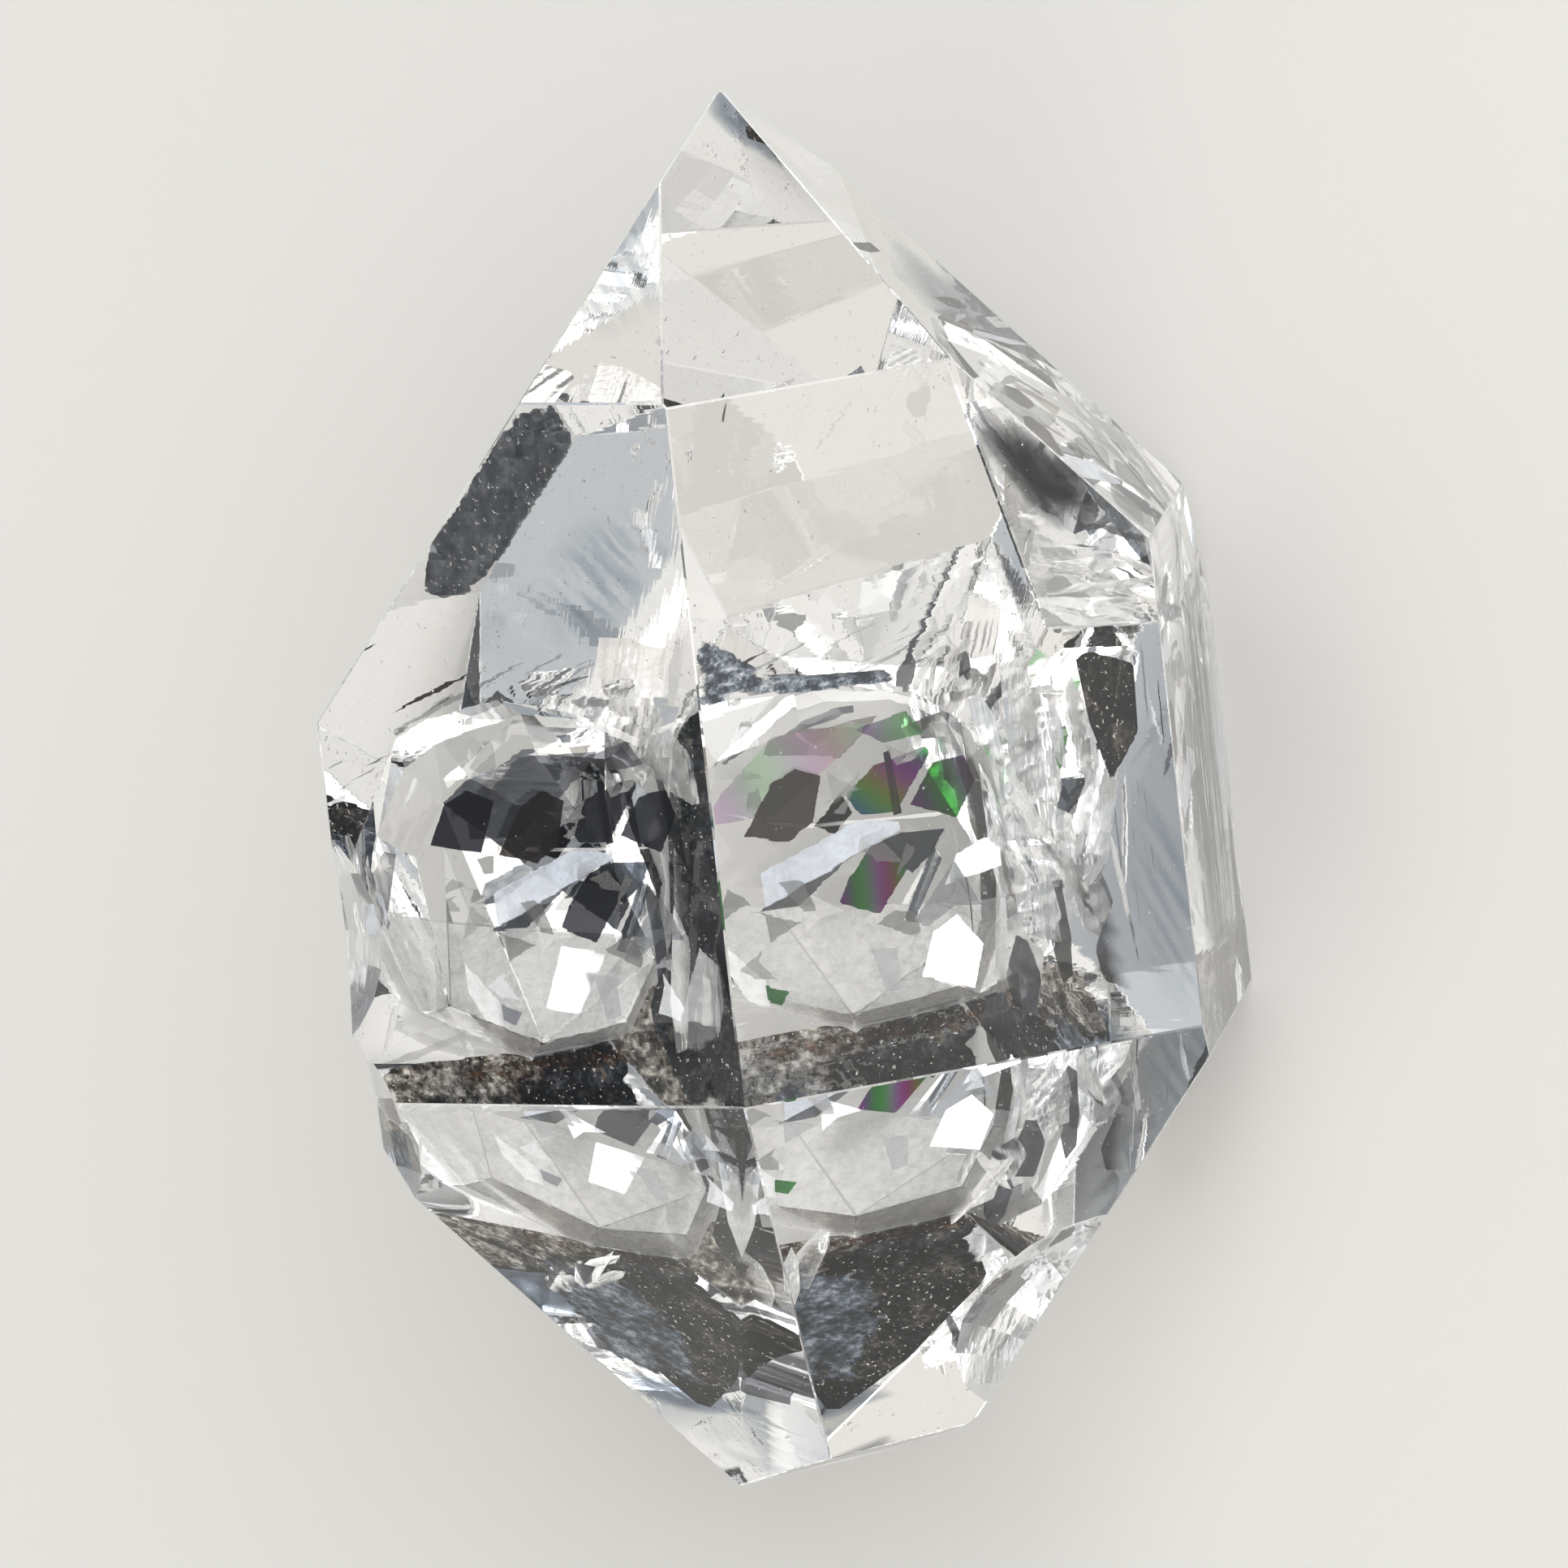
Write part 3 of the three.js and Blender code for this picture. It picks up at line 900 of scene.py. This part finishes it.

# %% [markdown]
# ## Cracks
# Each zone of the crystal holds a cluster of small cracks. Every fifth one is a grey mirror,
# whose dark reflection is painted shade.

# %% Cracks
air_crack = crack("air crack in quartz", "#ffffff", 0.85, 0.12)
# Painted shade: the grey mirror colour darkens this crack's reflection.
dark_crack = crack("crack with a painted dark reflection", "#4a4c52", 0.9, 0.1)
ZONES = [  # name, middle, reach, count, azimuth, polar, spread, half sizes (least, most), turn, seed
    ("column", (1.6, 5.0, -1.5), (0.75, 0.5, 2.5), 20, 139, 88, 15, (0.2, 0.55, 0.5, 1.3), 90, 1),
    ("lower_right", (2.7, -3.2, -5.5), (1.0, 0.5, 0.7), 9, 40, 100, 40, (0.2, 0.5, 0.3, 0.8), 60, 2),
    ("left_edge", (-4.7, 2.2, -1.6), (0.5, 1.2, 1.7), 8, 215, 88, 35, (0.2, 0.4, 0.4, 1.1), 90, 3),
    ("lower_left", (-3.5, -1.3, -6.1), (0.6, 0.5, 0.3), 10, -45, 70, 35, (0.2, 0.5, 0.1, 0.3), -35, 4),
    ("bottom_middle", (-0.6, -3.2, -5.8), (0.4, 0.5, 1.0), 6, -8, 92, 35, (0.1, 0.4, 0.3, 0.7), 80, 5),
    ("above_imprint", (0.8, 4.6, 1.3), (0.5, 0.3, 0.5), 7, 190, 75, 40, (0.1, 0.3, 0.2, 0.5), 90, 6),
    ("right_edge", (5.1, 0.8, 2.6), (0.3, 1.4, 1.8), 6, 110, 80, 30, (0.1, 0.3, 0.4, 1.0), 90, 7),
    ("front_nick", (-1.1, -6.3, 6.1), (0.8, 0.25, 0.3), 7, -10, 80, 45, (0.08, 0.25, 0.05, 0.14), -20, 8),
]
CLEAR_ZONE = "bottom_middle"  # all its cracks are clear: a dark one shows in the upper left panel
TURN_SPREAD = 12.0  # degrees
BEND_SHARE = 0.1  # of a crack's smaller half size
RIPPLE_SHARE = (0.004, 0.02)  # of a crack's smaller half size, least and most
RIPPLE_LENGTH = 0.6  # mm


def zone_cracks(middle, reach, count, azimuth, polar, spread, half, turn, seed):
    """Small cracks about the middle of a zone, with random leans, sizes and bends."""
    random = np.random.default_rng(seed)
    cracks = []
    for index in range(count):
        place = np.array(middle) + random.uniform(-1, 1, 3) * reach
        lean = direction(azimuth + random.normal(0, spread), polar + random.normal(0, spread / 2))
        size = (random.uniform(*half[2:]), random.uniform(*half[:2]))
        ripple = (random.uniform(*RIPPLE_SHARE) * size[1], RIPPLE_LENGTH)
        own_turn = turn + random.normal(0, TURN_SPREAD)
        bend = random.normal(0, BEND_SHARE) * size[1]
        cracks.append(sheet(place, lean, size, own_turn, bend, ripple, shard_rim, seed=100 * seed + index))
    return cracks


for name, *zone in ZONES:
    cracks = zone_cracks(*zone)
    dark = range(4, len(cracks), 5) if name != CLEAR_ZONE else ()
    build(f"{name}_cracks", air_crack, [part for i, part in enumerate(cracks) if i not in dark])
    if any(cracks[i] for i in dark):
        build(f"{name}_dark_cracks", dark_crack, [cracks[i] for i in dark])

# %% [markdown]
# ## Dust
# Fine white specks lie all over the crystal. They are modelled just under its faces.

# %% Dust
DUST_COUNT = 2600
DUST_RADIUS = (0.004, 0.011)  # mm
DUST_GROWTH = [1, 1, 1, 2.2]  # one speck in four is large
DUST_DEPTH = 0.004  # mm, between a speck and the face above it


def dust(count, radius, seed):
    """Small octahedra just under the outer faces, spread evenly over their area."""
    random = np.random.default_rng(seed)
    mesh.calc_loop_triangles()
    corners = np.array([[mesh.vertices[i].co for i in tri.vertices] for tri in mesh.loop_triangles])
    cross = np.cross(corners[:, 1] - corners[:, 0], corners[:, 2] - corners[:, 0])
    area = np.linalg.norm(cross, axis=1)
    pick = random.choice(len(corners), count, p=area / area.sum())
    a, b = random.random((2, count))
    a, b = np.where(a + b > 1, 1 - a, a), np.where(a + b > 1, 1 - b, b)
    tri = corners[pick]
    point = tri[:, 0] + a[:, None] * (tri[:, 1] - tri[:, 0]) + b[:, None] * (tri[:, 2] - tri[:, 0])
    size = random.uniform(*radius, count) * random.choice(DUST_GROWTH, count) * MM
    point = point - cross[pick] / area[pick, None] * (size[:, None] + DUST_DEPTH * MM)
    shape = np.array([(1, 0, 0), (-1, 0, 0), (0, 1, 0), (0, -1, 0), (0, 0, 1), (0, 0, -1)], float)
    upper, lower = [(0, 2, 4), (2, 1, 4), (1, 3, 4), (3, 0, 4)], [(2, 0, 5), (1, 2, 5), (3, 1, 5), (0, 3, 5)]
    faces = np.array(upper + lower)
    vertices = (point[:, None] + shape * size[:, None, None]).reshape(-1, 3)
    triangles = (faces + len(shape) * np.arange(count)[:, None, None]).reshape(-1, 3)
    specks = bpy.data.meshes.new("dust")
    specks.from_pydata(vertices, [], triangles.tolist())
    specks.materials.append(matte("white dust", "#f4f2ee"))
    piece(specks, "dust")
    print("dust specks", count, "faces", len(triangles))


dust(DUST_COUNT, DUST_RADIUS, seed=7)

# %% [markdown]
# ## Floor, light and camera
# The floor is pale paper. The room is pale all round, with a few darker patches where the
# light paths through the crystal's panels end.

# %% Floor
FLOOR_GAP = 0.03 * MM  # the dust under the crystal holds it this far off the floor


def pale_floor(half_side):
    plane = bpy.data.meshes.new("floor")
    corners = [(x * half_side, y * half_side, -FLOOR_GAP) for x, y in ((-1, -1), (1, -1), (1, 1), (-1, 1))]
    plane.from_pydata(corners, [], [(0, 1, 2, 3)])
    plane.materials.append(matte("pale paper", "#dcdad6"))
    floor = bpy.data.objects.new("floor", plane)
    SCENE.collection.objects.link(floor)
    return floor


pale_floor(0.6)

# %% Light
ROOM_STRENGTH = 1.5


def aim(azimuth, elevation):
    """Unit vector towards a direction: azimuth 0 is -Y, 90 is +X; elevation above the floor."""
    a, e = math.radians(azimuth), math.radians(elevation)
    return Vector((math.sin(a) * math.cos(e), -math.cos(a) * math.cos(e), math.sin(e)))


def softbox(name, towards, distance, side, radiance, colour):
    """A square soft light that faces the crystal. Power = radiance * pi * area."""
    lamp = bpy.data.lights.new(name, "AREA")
    lamp.shape, lamp.size = "SQUARE", side
    lamp.energy = radiance * math.pi * side**2
    lamp.color = linear(colour)[:3]
    holder = bpy.data.objects.new(name, lamp)
    holder.location = towards * distance
    holder.rotation_mode = "QUATERNION"
    holder.rotation_quaternion = (-towards).to_track_quat("-Z", "Y")
    SCENE.collection.objects.link(holder)


def room(ambient, patches):
    """Even pale surroundings, with darker patches.

    A patch is a colour, the azimuth and elevation of its middle, and the angles from there
    at which it starts to fade and is gone, in degrees.
    """
    world = bpy.data.worlds.new("studio")
    world.use_nodes = True
    tree = world.node_tree
    tree.nodes.clear()
    where = add(tree, "ShaderNodeTexCoord").outputs["Generated"]
    colour = linear(ambient)
    for patch_colour, azimuth, elevation, spread in patches:
        centre = tuple(aim(azimuth, elevation))
        along = add(tree, "ShaderNodeVectorMath", {0: where, 1: centre}, operation="DOT_PRODUCT")
        inside, outside = (math.cos(math.radians(angle)) for angle in spread)
        weight = fade(tree, along.outputs["Value"], outside, inside)
        colour = mix_colours(tree, weight, colour, linear(patch_colour))
    light = add(tree, "ShaderNodeBackground", {"Color": colour, "Strength": ROOM_STRENGTH})
    output = add(tree, "ShaderNodeOutputWorld")
    tree.links.new(light.outputs[0], output.inputs["Surface"])
    SCENE.world = world
    print("room patches:", len(patches))


room("#faf8f4", [
    ("#909599", 262, 42, (28, 60)),
    ("#2a2c30", 227, 74, (9, 20)),
    ("#b4b2ac", 355, 8, (20, 45)),
    ("#3a3d42", 60, 3, (13.5, 16)),
    ("#bab7b1", 2, 54, (10, 20)),
    ("#b7b5b0", 178, 25, (12, 24)),
    ("#777b7f", 287, 54, (8, 20)),
    ("#c2bfb9", 103, 74, (8, 18)),
])
softbox("key", aim(125, 40), distance=0.6, side=0.45, radiance=3.0, colour="#f7faff")

# %% Camera
def camera(towards, roll, distance, width):
    """Looks at the crystal's growth centre, with its c axis upright but for a small roll."""
    c_axis = Vector((0, 1, 0))
    upright = (c_axis - towards * towards.dot(c_axis)).normalized()
    across = upright.cross(towards)
    turn = math.radians(roll)
    right = across * math.cos(turn) - upright * math.sin(turn)
    up = across * math.sin(turn) + upright * math.cos(turn)
    data = bpy.data.cameras.new("camera")
    data.sensor_width = 36.0
    data.lens = data.sensor_width * distance / width
    data.clip_start, data.clip_end = 0.05, 5.0
    holder = bpy.data.objects.new("camera", data)
    SCENE.collection.objects.link(holder)
    place = Matrix((right, up, towards)).transposed().to_4x4()
    place.translation = Vector(CENTRE * MM) + towards * distance
    holder.matrix_world = place
    SCENE.camera = holder
    print("lens, mm:", round(data.lens))


camera(aim(104.78, 52.17), roll=6.3, distance=0.7, width=22.465 * MM)

# %% Light paths and colour
SCENE.cycles.max_bounces = 40
SCENE.cycles.glossy_bounces = 24
SCENE.cycles.transmission_bounces = 24
SCENE.cycles.transparent_max_bounces = 24
SCENE.view_settings.view_transform = "Standard"
